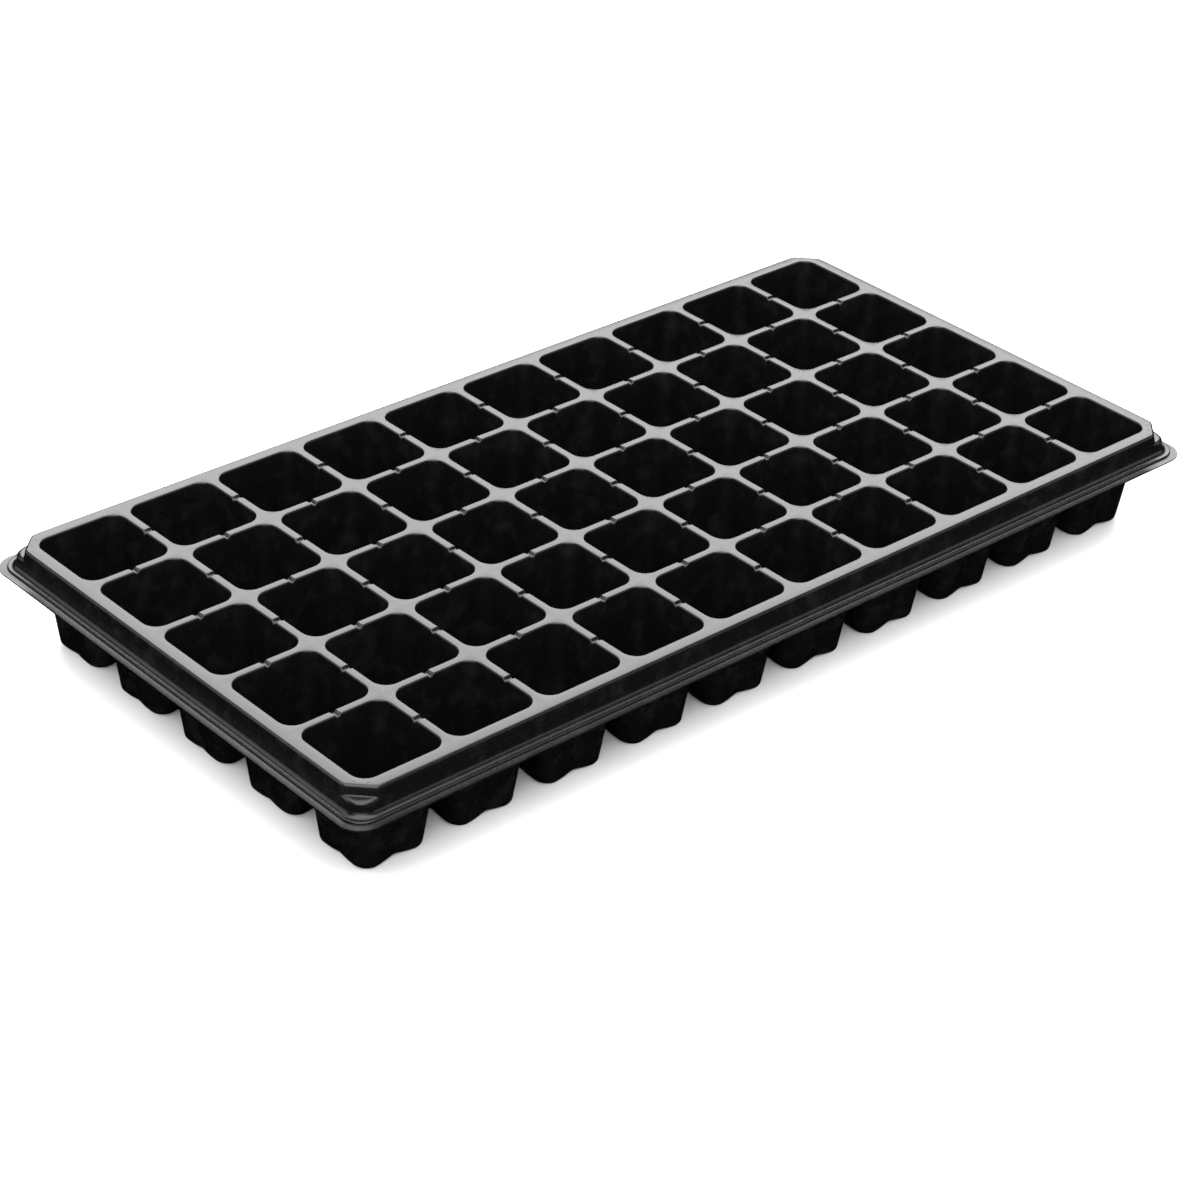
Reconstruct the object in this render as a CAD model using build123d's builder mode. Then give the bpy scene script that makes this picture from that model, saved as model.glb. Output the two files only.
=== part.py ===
"""Plug tray: a 50-cell seedling tray, thermoformed from one sheet of black polystyrene.

Frame: the origin is on the bench under the middle of the tray, +X runs along
the length, +Y across the width and +Z up.  The cup feet stand on z = 0.

The moulding is divided along its own grid.  Each cell node is one cup with its
share of the deck, out to the middle of the webs.  Eight rim nodes make the
border, skirt and stacking flange.  Neighbours meet face to face.
"""
import os
from math import atan, cos, degrees, radians

from build123d import *

# Overall size, in millimetres
tray_length = 540
tray_width = 280
tray_height = 54
columns = 10
rows = 5
pitch_x = 51.4
pitch_y = 50.7

# Sheet thickness left after forming
deck_sheet = 0.8
cup_wall = 0.45

# One cup, measured on its outer skin
cup_mouth = (47.6, 47.2)
cup_foot = (36.4, 36.0)
cup_corner_radius = 8
cup_heel_radius = 3
mouth_edge_radius = 0.8
drain_radius = 5

# Flutes up the middle of each wall, and the channels that cross under the floor
flute_width = 12
flute_bed = 4
flute_depth = 2.2
flute_height = 30
drain_boss_radius = 7

# Drainage notches across the webs between neighbouring cups
notch_radius = 1.6
notch_depth = 1.3

# Deck border and skirt
deck_edge = (524.6, 263.8)
deck_corner = 8
deck_edge_radius = 1.5
skirt_lean = 1 / 9
corner_cut = 11
corner_step_drop = 5

# Stacking flange: a ledge, then a lip one small step lower
ledge_drop = 12
ledge_edge = (533.6, 273.4)
ledge_corner = 10.5
ledge_root_radius = 3
lip_drop = 13.2
lip_thickness = 0.8
lip_corner = 12
rim_corner_length = 30
field_corner_trim = 4

# Worked out from the above
field_x = columns * pitch_x
field_y = rows * pitch_y
ledge_z = tray_height - ledge_drop
lip_z = tray_height - lip_drop
flange_z = lip_z - lip_thickness
step_z = tray_height - corner_step_drop
wall_lean = (cup_mouth[0] - cup_foot[0]) / 2 / tray_height
skirt_angle = degrees(atan(skirt_lean))
flute_lean = wall_lean + flute_depth / flute_height
clearance = 5


def flute_section(skin):
    """A flat-bottomed V that cuts in from the wall or floor line, grown by the skin."""
    spread = (flute_width - flute_bed) / 2 / flute_depth
    outer = flute_bed / 2 + spread * (flute_depth + clearance)
    with BuildSketch(mode=Mode.PRIVATE) as section:
        with BuildLine():
            Polyline((-flute_bed / 2, flute_depth), (-outer, -clearance), (outer, -clearance),
                     (flute_bed / 2, flute_depth), close=True)
        make_face()
        offset(amount=skin, kind=Kind.INTERSECTION)
    add(section.sketch)


def cup_outline(level, skin):
    """Width, length and corner radius of the cup at a height, with its rounded heel."""
    heel = cup_heel_radius - skin
    rise = max(0, heel - (level - skin))
    inset = skin + heel - (heel ** 2 - rise ** 2) ** 0.5
    sides = [side + 2 * (wall_lean * level - inset) for side in cup_foot]
    return sides, cup_corner_radius - inset


def cup_form(skin):
    """The cup's outer skin, or with a skin thickness the hollow inside it."""
    heel = cup_heel_radius - skin
    levels = [skin + heel * (1 - cos(radians(turn))) for turn in (0, 45, 90)] + [tray_height]
    with BuildPart() as form:
        for level in levels:
            size, corner = cup_outline(level, skin)
            with BuildSketch(Plane.XY.offset(level)):
                RectangleRounded(*size, corner)
        loft(ruled=True)
        for quarter in range(4):
            wall = Vector(cup_foot[quarter % 2] / 2, 0, 0).rotate(Axis.Z, 90 * quarter)
            across = Vector(0, 1, 0).rotate(Axis.Z, 90 * quarter)
            lean = Vector(flute_lean, 0, 1).rotate(Axis.Z, 90 * quarter)
            with BuildSketch(Plane(wall, x_dir=across, z_dir=lean)):
                flute_section(skin)
            extrude(amount=flute_height + clearance, both=True, mode=Mode.SUBTRACT)
        for upright in (Plane.XZ, Plane.YZ):
            with BuildSketch(upright):
                flute_section(skin)
            extrude(amount=pitch_x, both=True, mode=Mode.SUBTRACT)
        with BuildSketch():
            Circle(drain_boss_radius + skin)
        extrude(amount=flute_depth + skin, mode=Mode.SUBTRACT)
    return form.part


def web_groove(neighbours, radius):
    """Round bars across the webs on the sides that have a neighbour."""
    half_pitch = (pitch_x / 2, pitch_y / 2)
    height = Vector(0, 0, tray_height + notch_radius - notch_depth)
    with BuildPart() as bars:
        for quarter in neighbours:
            outward = Vector(1, 0, 0).rotate(Axis.Z, 90 * quarter)
            end = outward * half_pitch[quarter % 2] + height
            with BuildSketch(Plane(end, z_dir=outward)):
                Circle(radius)
            extrude(amount=-clearance)
    return bars.part


def make_cell(hull, hollow, neighbours):
    """One cup with its share of the deck, notched on the sides given."""
    with BuildPart() as cell:
        with BuildSketch(Plane.XY.offset(tray_height)):
            Rectangle(pitch_x, pitch_y)
        extrude(amount=-deck_sheet)
        if neighbours:
            add(web_groove(neighbours, notch_radius + deck_sheet))
            split(bisect_by=Plane.XY.offset(tray_height), keep=Keep.BOTTOM)
        add(hull)
        add(hollow, mode=Mode.SUBTRACT)
        top = cell.faces().sort_by(Axis.Z)[-1]
        fillet(top.inner_wires().edges(), mouth_edge_radius)
        if neighbours:
            add(web_groove(neighbours, notch_radius), mode=Mode.SUBTRACT)
        with Locations((0, 0, flute_depth)):
            Cylinder(drain_radius, 2 * clearance, mode=Mode.SUBTRACT)
    return cell.part


def field_block():
    """The space that the cells fill: the grid's outline with its four corners trimmed."""
    with BuildPart() as block:
        with BuildSketch():
            Rectangle(field_x, field_y)
            chamfer(vertices(), field_corner_trim)
        extrude(amount=tray_height)
    return block.part


def rim_form(skin):
    """The rim's upper skin as a solid block, or its underside with a skin thickness."""
    cut_side = (corner_cut + clearance) * 2 ** 0.5 + 2 * skin
    with BuildPart() as form:
        with BuildSketch(Plane.XY.offset(tray_height - skin)):
            RectangleRounded(deck_edge[0] - 2 * skin, deck_edge[1] - 2 * skin,
                             deck_corner - skin)
        extrude(amount=-ledge_drop, taper=-skirt_angle)
        with BuildSketch(Plane.XY.offset(flange_z)):
            RectangleRounded(ledge_edge[0] - 2 * skin, ledge_edge[1] - 2 * skin,
                             ledge_corner - skin)
        extrude(amount=ledge_z - skin - flange_z)
        ledge = form.faces().filter_by(Axis.Z).sort_by(Axis.Z)[-2]
        fillet(ledge.inner_wires().edges(), ledge_root_radius)
        with BuildSketch(Plane.XY.offset(step_z - skin)):
            with GridLocations(deck_edge[0] + 2 * clearance, deck_edge[1] + 2 * clearance, 2, 2):
                Rectangle(cut_side, cut_side, rotation=45)
        extrude(amount=2 * clearance, mode=Mode.SUBTRACT)
    return form.part


def make_rim():
    """Border, skirt and flange all round, open where the cups go."""
    with BuildPart() as rim:
        add(rim_form(0))
        deck_face = rim.faces().sort_by(Axis.Z)[-1]
        fillet(deck_face.edges(), deck_edge_radius)
        with BuildSketch(Plane.XY.offset(flange_z)):
            RectangleRounded(tray_length, tray_width, lip_corner)
        extrude(amount=lip_thickness)
        add(rim_form(deck_sheet), mode=Mode.SUBTRACT)
        add(field_block(), mode=Mode.SUBTRACT)
    return rim.part


def write(shape, name):
    shape.label = name
    export_step(shape, f"parts/{name}.step", write_pcurves=False)


def write_cells():
    hull = cup_form(0)
    hollow = cup_form(cup_wall)
    field = field_block()
    for column in range(columns):
        for row in range(rows):
            open_sides = (column < columns - 1, row < rows - 1, column > 0, row > 0)
            neighbours = [side for side in range(4) if open_sides[side]]
            x = (column - (columns - 1) / 2) * pitch_x
            y = (row - (rows - 1) / 2) * pitch_y
            with BuildPart() as cell:
                add(make_cell(hull, hollow, neighbours).moved(Location((x, y, 0))))
                if len(neighbours) == 2:  # a corner cell
                    add(field, mode=Mode.INTERSECT)
            write(cell.part, f"cell_{'abcde'[row]}{column + 1:02d}")


def write_rim():
    """Four straight rails and four corners, cut from the one rim."""
    rim = make_rim()
    long_rail = tray_length - 2 * rim_corner_length
    short_rail = tray_width - 2 * rim_corner_length
    blocks = {
        "rim_front": (0, -1, long_rail, tray_width),
        "rim_back": (0, 1, long_rail, tray_width),
        "rim_left": (-1, 0, tray_length, short_rail),
        "rim_right": (1, 0, tray_length, short_rail),
    }
    for x_side, x_name in ((-1, "left"), (1, "right")):
        for y_side, y_name in ((-1, "front"), (1, "back")):
            blocks[f"rim_corner_{y_name}_{x_name}"] = (
                x_side * (tray_length + long_rail) / tray_length / 2,
                y_side * (tray_width + short_rail) / tray_width / 2,
                rim_corner_length, rim_corner_length)
    for name, (x_side, y_side, x_size, y_size) in blocks.items():
        with BuildPart() as section:
            add(rim)
            with Locations((x_side * tray_length / 2, y_side * tray_width / 2, tray_height / 2)):
                Box(x_size, y_size, 2 * tray_height, mode=Mode.INTERSECT)
        write(section.part, name)


os.makedirs("parts", exist_ok=True)
write_cells()
write_rim()
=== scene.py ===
from math import atan, atan2, cos, hypot, pi, radians, sin, sqrt
from operator import mul

import bmesh
import bpy
from mathutils import Matrix, Vector, kdtree, noise


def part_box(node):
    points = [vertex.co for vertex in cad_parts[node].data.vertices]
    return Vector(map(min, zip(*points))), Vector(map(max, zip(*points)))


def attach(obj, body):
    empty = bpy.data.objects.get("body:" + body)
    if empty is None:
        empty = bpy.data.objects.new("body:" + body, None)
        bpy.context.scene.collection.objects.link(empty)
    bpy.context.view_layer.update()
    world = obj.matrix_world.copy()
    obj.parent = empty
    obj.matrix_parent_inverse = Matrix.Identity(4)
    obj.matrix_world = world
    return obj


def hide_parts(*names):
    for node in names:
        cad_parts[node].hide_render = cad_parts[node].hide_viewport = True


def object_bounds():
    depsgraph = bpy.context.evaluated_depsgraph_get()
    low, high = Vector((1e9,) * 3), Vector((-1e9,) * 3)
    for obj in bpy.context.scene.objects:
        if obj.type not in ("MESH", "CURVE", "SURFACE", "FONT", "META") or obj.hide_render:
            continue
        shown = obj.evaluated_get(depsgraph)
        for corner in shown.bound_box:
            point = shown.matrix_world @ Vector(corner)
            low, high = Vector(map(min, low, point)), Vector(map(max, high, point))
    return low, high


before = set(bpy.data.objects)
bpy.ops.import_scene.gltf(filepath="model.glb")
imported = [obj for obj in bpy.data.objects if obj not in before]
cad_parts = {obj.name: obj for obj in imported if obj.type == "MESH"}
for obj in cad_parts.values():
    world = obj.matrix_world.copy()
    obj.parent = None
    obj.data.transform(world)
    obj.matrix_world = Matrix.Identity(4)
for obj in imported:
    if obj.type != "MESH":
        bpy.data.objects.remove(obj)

# Lengths are in millimetres in the dictionaries and in the shape functions, and
# become metres where a point enters a mesh.
millimetre = 0.001
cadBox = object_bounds()
deckTop = cadBox[1][2] / millimetre
print("frame loaded:", len(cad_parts), "nodes")


# Camera, floor and light

view = {
    "aim": (-0.0491, -0.0452, 0.027),  # metres
    "distance": 1.5146,
    "azimuth": 42.97,                  # degrees, which way it looks, from +Y towards +X
    "elevation": 31.57,
    "roll": 2.63,
    "lens": 95.32,                     # millimetres
    "nearest": 0.01,
}

studio = {
    "floorSize": 12.0,                 # metres
    "floorColour": (0.84, 0.84, 0.845, 1),
    "floorRoughness": 0.9,
    "floorLevel": 0.1,                 # specular
    "world": (0.62, 0.63, 0.65, 1),
    "worldStrength": 0.85,
    # name: (place in metres, what it faces, width, height, watts)
    "panels": {
        "backPanel": ((1.66, 1.79, 2.06), (0, 0, 0.05), 3.6, 2.3, 196),
        "leftPanel": ((-1.6, 1.3, 1.9), (0, 0, 0.05), 1.2, 1.2, 14),
        "topPanel": ((-0.3, -0.4, 2.6), (0, 0, 0), 3.0, 3.0, 150),
        "frontPanel": ((-1.75, -1.9, 2.3), (0, 0, 0.05), 2.4, 1.6, 60),
        "lowFrontLeft": ((-2.1, -2.2, 1.0), (0, 0, 0.05), 3.6, 1.5, 24),
        "lowFrontRight": ((2.2, -2.1, 1.0), (0, 0, 0.05), 3.6, 1.5, 24),
        "lowBackLeft": ((-2.2, 2.1, 1.0), (0, 0, 0.05), 3.6, 1.5, 24),
    },
}


def clearSelection():
    bpy.ops.object.select_all(action="DESELECT")


def makeCamera():
    azimuth, elevation, roll = (radians(view[key]) for key in ("azimuth", "elevation", "roll"))
    look = Vector((sin(azimuth) * cos(elevation), cos(azimuth) * cos(elevation), -sin(elevation)))
    level = Vector((cos(azimuth), -sin(azimuth), 0))
    upright = level.cross(look)
    right = level * cos(roll) + upright * sin(roll)
    up = right.cross(look)
    clearSelection()
    bpy.ops.object.camera_add()
    camera = bpy.context.object
    camera.name = "studioCamera"
    turn = Matrix((right, up, -look)).transposed()
    place = Vector(view["aim"]) - look * view["distance"]
    camera.matrix_world = Matrix.Translation(place) @ turn.to_4x4()
    camera.data.lens = view["lens"]
    camera.data.clip_start = view["nearest"]
    bpy.context.scene.camera = camera


def makeFloor():
    clearSelection()
    bpy.ops.mesh.primitive_plane_add(size=studio["floorSize"])
    floor = bpy.context.object
    floor.name = "studioFloor"
    paint = bpy.data.materials.new("paleFloor")
    paint.use_nodes = True
    shader = paint.node_tree.nodes["Principled BSDF"]
    shader.inputs["Base Color"].default_value = studio["floorColour"]
    shader.inputs["Roughness"].default_value = studio["floorRoughness"]
    shader.inputs["Specular IOR Level"].default_value = studio["floorLevel"]
    floor.data.materials.append(paint)
    floor.visible_glossy = False       # black gloss walls would mirror it as a grey veil


def makeLights():
    for name, (place, target, width, height, watts) in studio["panels"].items():
        clearSelection()
        bpy.ops.object.light_add(type="AREA", location=place)
        panel = bpy.context.object
        panel.name = name
        panel.rotation_euler = (Vector(target) - Vector(place)).to_track_quat("-Z", "Y").to_euler()
        panel.data.shape = "RECTANGLE"
        panel.data.size = width
        panel.data.size_y = height
        panel.data.energy = watts
    world = bpy.data.worlds.new("studioWorld")
    world.use_nodes = True
    sky = world.node_tree.nodes["Background"]
    sky.inputs["Color"].default_value = studio["world"]
    sky.inputs["Strength"].default_value = studio["worldStrength"]
    bpy.context.scene.world = world
    world.cycles_visibility.glossy = False  # the sky lights the floor and isn't mirrored
    bpy.context.scene.view_settings.view_transform = "Standard"


makeCamera()
makeFloor()
makeLights()
print("studio ready")


# The one material, black polystyrene

class Wire:
    # One shader socket, so that values can be written as sums and products.
    def __init__(self, tree, socket):
        self.tree = tree
        self.socket = socket

    def combine(self, operation, first, second):
        return node(self.tree, "ShaderNodeMath", {"operation": operation}, {0: first, 1: second})[0]

    def __add__(self, other):
        return self.combine("ADD", self, other)

    def __sub__(self, other):
        return self.combine("SUBTRACT", self, other)

    def __rsub__(self, other):
        return self.combine("SUBTRACT", other, self)

    def __mul__(self, other):
        return self.combine("MULTIPLY", self, other)

    __radd__ = __add__
    __rmul__ = __mul__


def node(tree, kind, settings, values):
    # Adds a node, sets it up, feeds its sockets and hands back its outputs.
    made = tree.nodes.new(kind)
    for key, value in settings.items():
        if key == "stops":
            setStops(made.color_ramp, value)
        else:
            setattr(made, key, value)
    for key, value in values.items():
        if isinstance(value, Wire):
            tree.links.new(value.socket, made.inputs[key])
        else:
            made.inputs[key].default_value = value
    return [Wire(tree, socket) for socket in made.outputs]


def setStops(ramp, stops):
    while len(ramp.elements) < len(stops):
        ramp.elements.new(1)
    for element, (place, shade) in zip(ramp.elements, stops):
        element.position = place
        element.color = (shade, shade, shade, 1)


blackSheet = {
    "colour": (0.0024, 0.0024, 0.0027, 1),
    "rubbed": (0.0070, 0.0070, 0.0077, 1),
    "dust": (0.16, 0.15, 0.14, 1),
    "dustAmount": 0.02,
    "roughness": 0.27,
    "smearedGloss": 0.07,              # how far smears and the skin change the roughness
    "skinGloss": 0.05,
    "ior": 1.52,
    "level": 0.32,                     # specular
    # name: (scale, detail, roughness) of a noise over the sheet
    "noises": {
        "waves": (38, 2, 0.5),
        "skin": (2600, 3, 0.6),
        "smears": (90, 4, 0.6),
        "specks": (1500, 2, 0.7),
    },
    "speckStops": ((0.66, 0), (0.74, 1)),
    "rubStops": ((0.50, 0), (0.78, 1)),
    "waveBump": (0.30, 0.0006),        # strength, depth in metres
    "skinBump": (0.10, 0.00006),
}


def makeBlackSheet():
    spec = blackSheet
    paint = bpy.data.materials.new("blackSheet")
    paint.use_nodes = True
    tree = paint.node_tree
    shader = tree.nodes["Principled BSDF"]
    place = node(tree, "ShaderNodeTexCoord", {}, {})[3]

    def cloud(name):
        scale, detail, roughness = spec["noises"][name]
        return node(tree, "ShaderNodeTexNoise", {}, {
            "Vector": place, "Scale": scale, "Detail": detail, "Roughness": roughness})[0]

    def ramp(stops, value):
        return node(tree, "ShaderNodeValToRGB", {"stops": stops}, {0: value})[0]

    def blend(share, first, second):
        return node(tree, "ShaderNodeMix", {"data_type": "RGBA"}, {0: share, 6: first, 7: second})[2]

    # Sheet that was drawn over the mould: long soft waves and a fine leathery skin
    skin = cloud("skin")
    smears = cloud("smears")
    rubs = ramp(spec["rubStops"], smears)
    specks = ramp(spec["speckStops"], cloud("specks"))
    colour = blend(rubs, spec["colour"], spec["rubbed"])
    colour = blend(specks * spec["dustAmount"], colour, spec["dust"])
    roughness = (smears - 0.5) * spec["smearedGloss"] + (skin - 0.5) * spec["skinGloss"] + spec["roughness"]
    strength, depth = spec["waveBump"]
    wavy = node(tree, "ShaderNodeBump", {}, {
        "Strength": strength, "Distance": depth, "Height": cloud("waves")})[0]
    strength, depth = spec["skinBump"]
    grained = node(tree, "ShaderNodeBump", {}, {
        "Strength": strength, "Distance": depth, "Height": skin, "Normal": wavy})[0]
    for name, value in (("Base Color", colour), ("Roughness", roughness), ("Normal", grained)):
        tree.links.new(value.socket, shader.inputs[name])
    shader.inputs["IOR"].default_value = spec["ior"]
    shader.inputs["Specular IOR Level"].default_value = spec["level"]
    return paint


blackPlastic = makeBlackSheet()
print("materials ready")


# Sheet work shared by the cups and the rim
sheetWork = {
    "mergeDistance": 0.002,            # points closer than this are one
    "smoothAngle": 38,                 # degrees
    "deckBand": 0.05,                  # faces this near the top are the deck
}


def quarterTurn(steps):
    # Angles from 0 to a right angle, both ends included.
    return [pi / 2 * step / steps for step in range(steps + 1)]


def softAbove(value, width):
    # Zero below, the value above, with a rounded turn between.
    return (value + sqrt(value * value + width * width)) / 2


def fade(value, low, high):
    step = min(1, max(0, (value - low) / (high - low)))
    return step * step * (3 - 2 * step)


def growSheet(name, rows, closed):
    # A row of points is a loop of edges, and each next row is extruded from the one before.
    clearSelection()
    bpy.ops.mesh.primitive_circle_add(vertices=len(rows[0]), radius=1)
    piece = bpy.context.object
    piece.name = name
    piece.data.name = name
    bpy.ops.object.mode_set(mode="EDIT")
    mesh = bmesh.from_edit_mesh(piece.data)
    mesh.verts.ensure_lookup_table()
    if not closed:
        ends = {0, len(rows[0]) - 1}
        seam = [edge for edge in mesh.edges if {vert.index for vert in edge.verts} == ends]
        bmesh.ops.delete(mesh, geom=seam, context="EDGES_FACES")
        mesh.verts.ensure_lookup_table()
    for vert, point in zip(mesh.verts, rows[0]):
        vert.co = Vector(point) * millimetre
    bpy.ops.mesh.select_all(action="SELECT")
    for before, after in zip(rows, rows[1:]):
        bpy.ops.mesh.extrude_edges_move()
        mesh = bmesh.from_edit_mesh(piece.data)
        finder = kdtree.KDTree(len(before))
        for index, point in enumerate(before):
            finder.insert(Vector(point) * millimetre, index)
        finder.balance()
        for vert in [vert for vert in mesh.verts if vert.select]:
            vert.co = Vector(after[finder.find(vert.co)[1]]) * millimetre
        bmesh.update_edit_mesh(piece.data)
    bpy.ops.mesh.select_all(action="SELECT")
    bpy.ops.mesh.remove_doubles(threshold=sheetWork["mergeDistance"] * millimetre)
    bpy.ops.mesh.normals_make_consistent(inside=False)
    mesh = bmesh.from_edit_mesh(piece.data)
    mesh.normal_update()
    # The deck has to face up.
    lowest = (deckTop - sheetWork["deckBand"]) * millimetre
    deck = [face for face in mesh.faces if face.calc_center_median().z > lowest]
    if sum(face.normal.z * face.calc_area() for face in deck) < 0:
        bpy.ops.mesh.flip_normals()
    bpy.ops.object.mode_set(mode="OBJECT")
    return piece


def thickenSheet(piece, thickness, thinShare):
    # The thickness goes below the shown face. Outside the group "thick" it is thinShare of that.
    clearSelection()
    piece.select_set(True)
    bpy.context.view_layer.objects.active = piece
    wall = piece.modifiers.new("sheet", "SOLIDIFY")
    wall.thickness = thickness * millimetre
    wall.offset = -1
    if thinShare < 1:
        wall.vertex_group = "thick"
        wall.thickness_vertex_group = thinShare
    bpy.ops.object.modifier_apply(modifier=wall.name)
    bpy.ops.object.shade_smooth_by_angle(angle=radians(sheetWork["smoothAngle"]))


def finishPiece(piece, *nodes):
    piece.data.materials.clear()
    piece.data.materials.append(blackPlastic)
    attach(piece, "root")
    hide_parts(*nodes)


cup = {
    "mouthHalf": (23.35, 23.15),       # inner face at deck level
    "footHalf": (17.75, 17.55),
    "cornerRadius": 7.55,
    "mouthEdge": 0.8,
    "heelRadius": 2.55,
    "deckSheet": 0.8,
    "wallSheet": 0.45,
    "fluteBed": 0.8,                   # half width
    "fluteSlope": 0.16,
    "fluteDepth": (0.6, 1.4),          # in the walls that face along X, along Y
    "fluteHeight": 30,
    "fluteSoft": 0.5,                  # rounds its edges
    "fluteFade": (3, 14),              # levels between which its lift of the wall rows dies out
    "drainRadius": 5,
    "bossRadius": 7.2,
    "bossSlope": 1.5,
    "notchDepth": 1.3,
    "notchHalf": 1.57,
    "notchSoft": 0.2,
    "notchReach": 6,                   # inwards from the middle of the web, and down
    "notchFade": (5, 1),               # below the deck
    "deckSheetFade": (4, 1),           # below the deck, where the sheet thins to the wall's
    "cornerTrim": 4,                   # of the deck, at the four corners of the field
    "arcSteps": 8,
    "heelSteps": 6,
    "mouthSteps": 4,
    "wallLevels": (52.4, 51.2, 49, 43, 36, 31, 28, 24.5, 21, 17, 13, 9.5, 6.5, 4.5),
    "floorShares": (0.12, 0.3, 0.5, 0.7, 0.86, 0.96, 1),
    "nearStops": [0, 0.5, 0.95, 1.35, 1.75, 2.4, 3.8, 5.4],  # from the middle of a side
    "farShares": (0.33, 0.67, 1),      # of the rest of the side
}


def gridPlace(name):
    # cell_b03 is column 3 of row 2.
    letter, number = name[-3], name[-2:]
    return int(number), "abcde".index(letter) + 1


cellNames = [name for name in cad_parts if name.startswith("cell_")]
columnCount, rowCount = (max(counts) for counts in zip(*[gridPlace(name) for name in cellNames]))
lowCorner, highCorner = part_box("cell_c05")
pitch = [(high - low) / millimetre for low, high in zip(lowCorner[:2], highCorner[:2])]
wallLean = (cup["mouthHalf"][0] - cup["footHalf"][0]) / deckTop


def sideStops(straight):
    # Close together where the notch and the flute are, wider towards the corner.
    near = cup["nearStops"]
    half = near + [near[-1] + (straight - near[-1]) * share for share in cup["farShares"]]
    return [-stop for stop in reversed(half[1:])] + half


def cupOutline(halfX, halfY, radius, place):
    # Points round a rounded rectangle. place(quarter, outward, along) turns each into x, y, z.
    points = []
    for quarter in range(4):
        outHalf, alongHalf = ((halfX, halfY), (halfY, halfX))[quarter % 2]
        straight = alongHalf - radius
        local = [(outHalf, stop) for stop in sideStops(straight)]
        for turn in quarterTurn(cup["arcSteps"])[1:-1]:
            local.append((outHalf - radius + radius * cos(turn), straight + radius * sin(turn)))
        points += [place(quarter, outward, along) for outward, along in local]
    return points


def turned(quarter, outward, along):
    return ((outward, along), (-along, outward), (-outward, -along), (along, -outward))[quarter]


def flute(along, depth):
    slope = max(0, abs(along) - cup["fluteBed"]) * cup["fluteSlope"]
    return softAbove(depth - slope, cup["fluteSoft"]) if depth > 0 else 0


def wallFlute(quarter, along, level):
    return flute(along, cup["fluteDepth"][quarter % 2] * (1 - level / cup["fluteHeight"]))


def floorLift(x, y):
    alongX, alongY = (depth - max(0, abs(off) - cup["fluteBed"]) * cup["fluteSlope"]
                      for depth, off in zip(cup["fluteDepth"], (y, x)))
    deepest = max(cup["fluteDepth"])
    boss = deepest - max(0, hypot(x, y) - cup["bossRadius"]) * cup["bossSlope"]
    return min(deepest, softAbove(max(boss, alongX, alongY), cup["fluteSoft"]))


def boundaryRow():
    # The middle of the webs: a rectangle with the same stops as the mouth.
    half = [side / 2 for side in pitch]
    inner = [size - cup["cornerRadius"] for size in cup["mouthHalf"]]

    def place(quarter, outward, along):
        edge, other = (half, half[::-1])[quarter % 2]
        start, otherStart = (inner[::-1], inner)[quarter % 2]
        turn = atan2(along - start, outward - otherStart) if along > start + 1e-6 else 0
        if turn <= 0:
            return (*turned(quarter, edge, along), deckTop)
        if turn <= pi / 4 + 1e-6:
            reach = start + (other - start) * sin(turn) / cos(turn)
            return (*turned(quarter, edge, reach), deckTop)
        reach = otherStart + (edge - otherStart) * cos(turn) / sin(turn)
        return (*turned(quarter, reach, other), deckTop)

    return cupOutline(*cup["mouthHalf"], cup["cornerRadius"], place)


def mouthRows():
    radius = cup["mouthEdge"]
    lean = atan(wallLean)
    centre = radius * (1 - sin(lean)) / cos(lean)
    rows = []
    for step in range(cup["mouthSteps"] + 1):
        turn = (pi / 2 - lean) * step / cup["mouthSteps"]
        spread = centre - radius * sin(turn)
        level = deckTop - radius * (1 - cos(turn))
        rows.append(cupOutline(
            cup["mouthHalf"][0] + spread, cup["mouthHalf"][1] + spread, cup["cornerRadius"] + spread,
            lambda quarter, outward, along: (*turned(quarter, outward, along), level)))
    return rows


def wallRow(level):
    foot = cup["footHalf"]

    def place(quarter, outward, along):
        lift = flute(along, cup["fluteDepth"][quarter % 2]) * (1 - fade(level, *cup["fluteFade"]))
        raised = level + lift
        outward += wallLean * lift - wallFlute(quarter, along, raised)
        return (*turned(quarter, outward, along), raised)

    spread = wallLean * level
    return cupOutline(foot[0] + spread, foot[1] + spread, cup["cornerRadius"], place)


def heelRow(turn):
    heel = cup["heelRadius"]
    top = cup["wallSheet"] + heel
    inset = heel * (1 - cos(turn))
    foot = [half + wallLean * top - inset for half in cup["footHalf"]]

    def place(quarter, outward, along):
        depth = cup["fluteDepth"][quarter % 2]
        lift = min(depth, flute(along, depth))
        outward -= wallFlute(quarter, along, top + lift) - wallLean * lift
        return (*turned(quarter, outward, along), top + lift - heel * sin(turn))

    return cupOutline(*foot, cup["cornerRadius"] - inset, place)


def floorRow(heelEnd, share):
    # From the heel to the drain hole. The first quarter of the way settles onto the floor.
    row = []
    for x, y, z in heelEnd:
        turn = atan2(y, x)
        newX = x + (cup["drainRadius"] * cos(turn) - x) * share
        newY = y + (cup["drainRadius"] * sin(turn) - y) * share
        ground = cup["wallSheet"] + floorLift(newX, newY)
        row.append((newX, newY, z + (ground - z) * min(1, share * 4)))
    return row


def makeCupSheet():
    rows = [boundaryRow()] + mouthRows()
    rows += [wallRow(level) for level in cup["wallLevels"]]
    rows += [heelRow(turn) for turn in quarterTurn(cup["heelSteps"])]
    rows += [floorRow(rows[-1], share) for share in cup["floorShares"]]
    sheet = growSheet("cupSheet", rows, True)
    group = sheet.vertex_groups.new(name="thick")
    levels = [deckTop - depth for depth in cup["deckSheetFade"]]
    for vert in sheet.data.vertices:
        group.add([vert.index], fade(vert.co.z / millimetre, *levels), "REPLACE")
    return sheet


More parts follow.
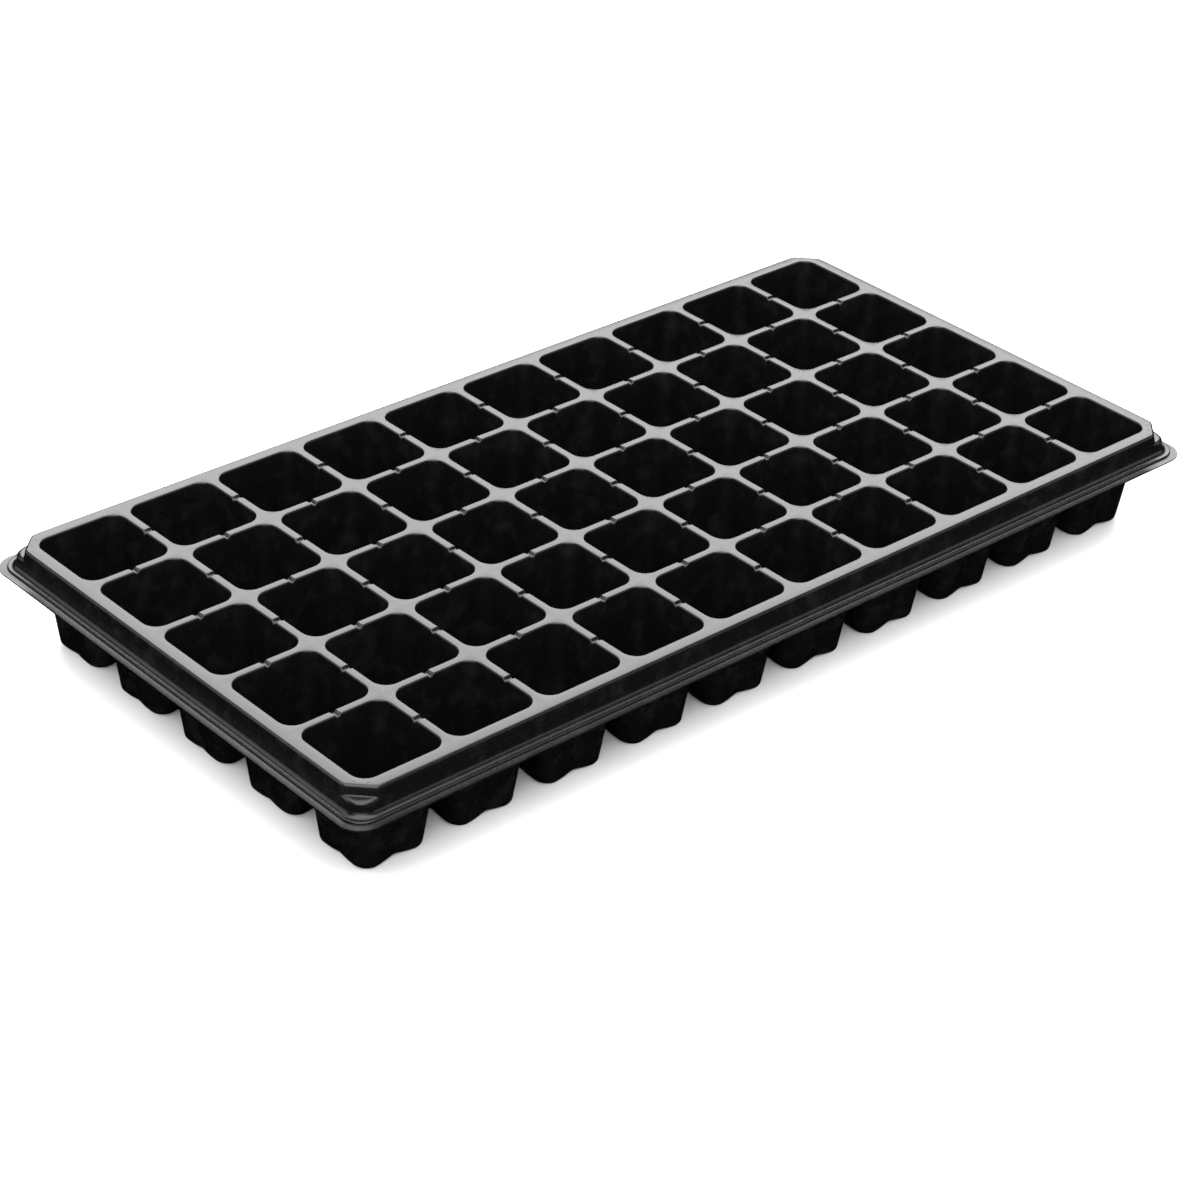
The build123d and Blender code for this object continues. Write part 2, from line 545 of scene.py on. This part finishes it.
def pressNotches(mesh, openSides):
    half = [side / 2 for side in pitch]
    depth, reach = cup["notchDepth"], cup["notchReach"]
    levels = [deckTop - below for below in cup["notchFade"]]
    for vert in mesh.vertices:
        x, y, z = (value / millimetre for value in vert.co)
        for quarter in openSides:
            outward, along = ((x, y), (y, -x), (-x, -y), (-y, x))[quarter]
            if outward > half[quarter % 2] - reach and z > deckTop - reach:
                drop = softAbove(depth * (1 - (along / cup["notchHalf"]) ** 2), cup["notchSoft"])
                vert.co.z -= min(drop, depth) * fade(z, *levels) * millimetre


def trimCorner(mesh, sideX, sideY):
    # Points past the 45 degree line are pulled square onto it.
    limit = sum(pitch) / 2 - cup["cornerTrim"]
    for vert in mesh.vertices:
        excess = (vert.co.x * sideX + vert.co.y * sideY) / millimetre - limit
        if excess > 0:
            vert.co.x -= sideX * excess / 2 * millimetre
            vert.co.y -= sideY * excess / 2 * millimetre


def makeCups():
    master = makeCupSheet()
    for name in cellNames:
        low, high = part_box(name)
        piece = master.copy()
        piece.data = master.data.copy()
        piece.name = name.replace("cell_", "cup_")
        piece.data.name = piece.name
        bpy.context.collection.objects.link(piece)
        column, row = gridPlace(name)
        edges = (column == columnCount, row == rowCount, column == 1, row == 1)
        pressNotches(piece.data, [side for side in range(4) if not edges[side]])
        if sum(edges) == 2:
            trimCorner(piece.data, 1 if edges[0] else -1, 1 if edges[1] else -1)
        piece.data.transform(Matrix.Translation(((low[0] + high[0]) / 2, (low[1] + high[1]) / 2, 0)))
        thickenSheet(piece, cup["deckSheet"], cup["wallSheet"] / cup["deckSheet"])
        finishPiece(piece, name)
    bpy.data.objects.remove(master)


makeCups()
print("cups ready")


rim = {
    "sheet": 0.8,
    "deckHalf": (262.3, 131.9),
    "deckCorner": 8,
    "deckEdge": 1.5,
    "skirtLean": 1 / 9,
    "cornerCut": 11,
    "stepDrop": 5,
    "stepRadius": 0.8,                 # at the foot of the cut wall
    "stepRoll": 1.6,                   # how far the small ledge rolls down to its edge
    "rootRadius": 3,
    "ledgeDrop": 12,
    "ledgeHalf": (266.8, 136.7),
    "ledgeCorner": 10.5,
    "ledgeEdge": 0.45,
    "lipDrop": 13.2,
    "lipHalf": (270, 140),
    "lipCorner": 12,
    "cornerLength": 30,
    "arcSteps": 12,
    "sag": 0.35,                       # how far the flange wanders from flat
    "sagFrom": 8,                      # below the deck
    "sagScale": 0.011,                 # of the noise, per millimetre
    "cutSoft": 0.8,                    # rounds the ends of the 45 degree cut
    "turnSteps": 5,                    # round each rounded edge
    "railStep": 12,                    # least distance between the rows of a straight rail
    "cutStops": (-1.6, -0.8, -0.3, 0.1, 0.5, 1.1, 1.9),  # rows near each end of the cut
}

fieldHalf = (pitch[0] * columnCount / 2, pitch[1] * rowCount / 2)
fieldSum = sum(fieldHalf) - cup["cornerTrim"]
arcCentre = [half - rim["deckCorner"] for half in rim["deckHalf"]]
cutSum = sum(rim["deckHalf"]) - rim["cornerCut"]


def roundedPoint(half, radius, station):
    kind, value = station
    if kind == "xSide":
        return half[0], value
    if kind == "ySide":
        return value, half[1]
    return half[0] - radius + radius * cos(value), half[1] - radius + radius * sin(value)


def fieldPoint(station):
    # The cups' outline, trimmed at its corner.
    kind, value = station
    if kind == "xSide":
        return min(fieldHalf[0], fieldSum - value), value
    if kind == "ySide":
        return value, min(fieldHalf[1], fieldSum - value)
    share = value / (pi / 2)
    start = fieldHalf[0], fieldSum - fieldHalf[0]
    end = fieldSum - fieldHalf[1], fieldHalf[1]
    return start[0] + (end[0] - start[0]) * share, start[1] + (end[1] - start[1]) * share


def lowerPoint(spread, station):
    half = [size + spread for size in rim["deckHalf"]]
    return roundedPoint(half, rim["deckCorner"] + spread, station)


def upperPoint(spread, station):
    # The deck's outline, with its corner cut off at 45 degrees.
    kind, value = station
    half = [size + spread for size in rim["deckHalf"]]
    cut = cutSum + spread * sqrt(2)
    if kind == "xSide":
        return half[0] - softAbove(value - (cut - half[0]), rim["cutSoft"]), value
    if kind == "ySide":
        return value, half[1] - softAbove(value - (cut - half[1]), rim["cutSoft"])
    reach = (cut - sum(arcCentre)) / (cos(value) + sin(value))
    return arcCentre[0] + reach * cos(value), arcCentre[1] + reach * sin(value)


def stepCurve(width):
    # From the cut wall, out over the small ledge and down to the skirt, as (outward, down) pairs.
    radius, roll = rim["stepRadius"], rim["stepRoll"]
    depth = radius + roll
    share = min(1, width / depth)
    full = max(width, depth)
    turns = quarterTurn(rim["turnSteps"])
    pairs = [(radius * (1 - cos(turn)), radius * sin(turn)) for turn in turns]
    pairs += [(radius + (full - radius) * sin(turn), depth - roll * cos(turn)) for turn in turns[1:]]
    curve = []
    for index, (outward, down) in enumerate(pairs):
        even = depth * index / (len(pairs) - 1)
        curve.append((outward / full * width, down * share + even * (1 - share)))
    return curve


def sag(x, y, z):
    low = fade(deckTop - z, rim["sagFrom"], rim["lipDrop"])
    return z + rim["sag"] * low * noise.noise(Vector((x, y, 0)) * rim["sagScale"])


def rimProfile(station):
    top = deckTop
    lean = rim["skirtLean"]
    points = [(*fieldPoint(station), top)]
    edge = rim["deckEdge"]
    for turn in quarterTurn(rim["turnSteps"]):
        points.append((*upperPoint(-edge * (1 - sin(turn)), station), top - edge * (1 - cos(turn))))
    stepTop = rim["stepDrop"] - rim["stepRadius"]
    stepFoot = rim["stepDrop"] + rim["stepRoll"]
    start = upperPoint(lean * stepTop, station)
    end = lowerPoint(lean * stepFoot, station)
    width = hypot(end[0] - start[0], end[1] - start[1])
    for outward, down in stepCurve(width):
        share = outward / width
        x = start[0] + (end[0] - start[0]) * share
        y = start[1] + (end[1] - start[1]) * share
        points.append((x, y, top - stepTop - down))
    root = rim["rootRadius"]
    rootTop = rim["ledgeDrop"] - root
    # The skirt runs from just under the small ledge down to its root.
    for down in (stepFoot + 1, rootTop):
        points.append((*lowerPoint(lean * down, station), top - down))
    for turn in quarterTurn(rim["turnSteps"])[1:]:
        spread = lean * rootTop + root * (1 - cos(turn))
        points.append((*lowerPoint(spread, station), top - rootTop - root * sin(turn)))
    small, corner = rim["ledgeEdge"], rim["ledgeCorner"]
    for turn in quarterTurn(3):
        half = [size - small * (1 - sin(turn)) for size in rim["ledgeHalf"]]
        level = top - rim["ledgeDrop"] - small * (1 - cos(turn))
        points.append((*roundedPoint(half, corner, station), level))
    for turn in quarterTurn(2):
        half = [size + small / 2 * (1 - cos(turn)) for size in rim["ledgeHalf"]]
        level = top - rim["lipDrop"] + small / 2 * (1 - sin(turn))
        points.append((*roundedPoint(half, corner, station), level))
    points.append((*roundedPoint(rim["lipHalf"], rim["lipCorner"], station), top - rim["lipDrop"]))
    return [(x, y, sag(x, y, z)) for x, y, z in points]


def cornerStations():
    start = [half - rim["cornerCut"] for half in rim["deckHalf"]]
    ends = [size - rim["cornerLength"] for size in rim["lipHalf"]]
    stations = [("xSide", ends[1]), ("xSide", (ends[1] + start[1]) / 2)]
    stations += [("xSide", start[1] + gap) for gap in rim["cutStops"]]
    stations += [("arc", turn) for turn in quarterTurn(rim["arcSteps"])]
    stations += [("ySide", start[0] + gap) for gap in reversed(rim["cutStops"])]
    return stations + [("ySide", (ends[0] + start[0]) / 2), ("ySide", ends[0])]


def makeRim():
    ends = [size - rim["cornerLength"] for size in rim["lipHalf"]]
    pieces = {}
    for name, kind, end, side in (
            ("front", "ySide", ends[0], -1), ("back", "ySide", ends[0], 1),
            ("left", "xSide", ends[1], -1), ("right", "xSide", ends[1], 1)):
        count = int(end // rim["railStep"]) * 2
        stations = [(kind, end * (2 * step / count - 1)) for step in range(count + 1)]
        flip = (1, side, 1) if kind == "ySide" else (side, 1, 1)
        pieces["rim_" + name] = (stations, flip)
    for xName, xSide in (("left", -1), ("right", 1)):
        for yName, ySide in (("front", -1), ("back", 1)):
            pieces[f"rim_corner_{yName}_{xName}"] = (cornerStations(), (xSide, ySide, 1))
    for name, (stations, flip) in pieces.items():
        profiles = [rimProfile(station) for station in stations]
        lines = [[tuple(map(mul, point, flip)) for point in profile] for profile in profiles]
        piece = growSheet(name.replace("rim", "border", 1), lines, False)
        thickenSheet(piece, rim["sheet"], 1)
        finishPiece(piece, name)


makeRim()
print("rim ready")
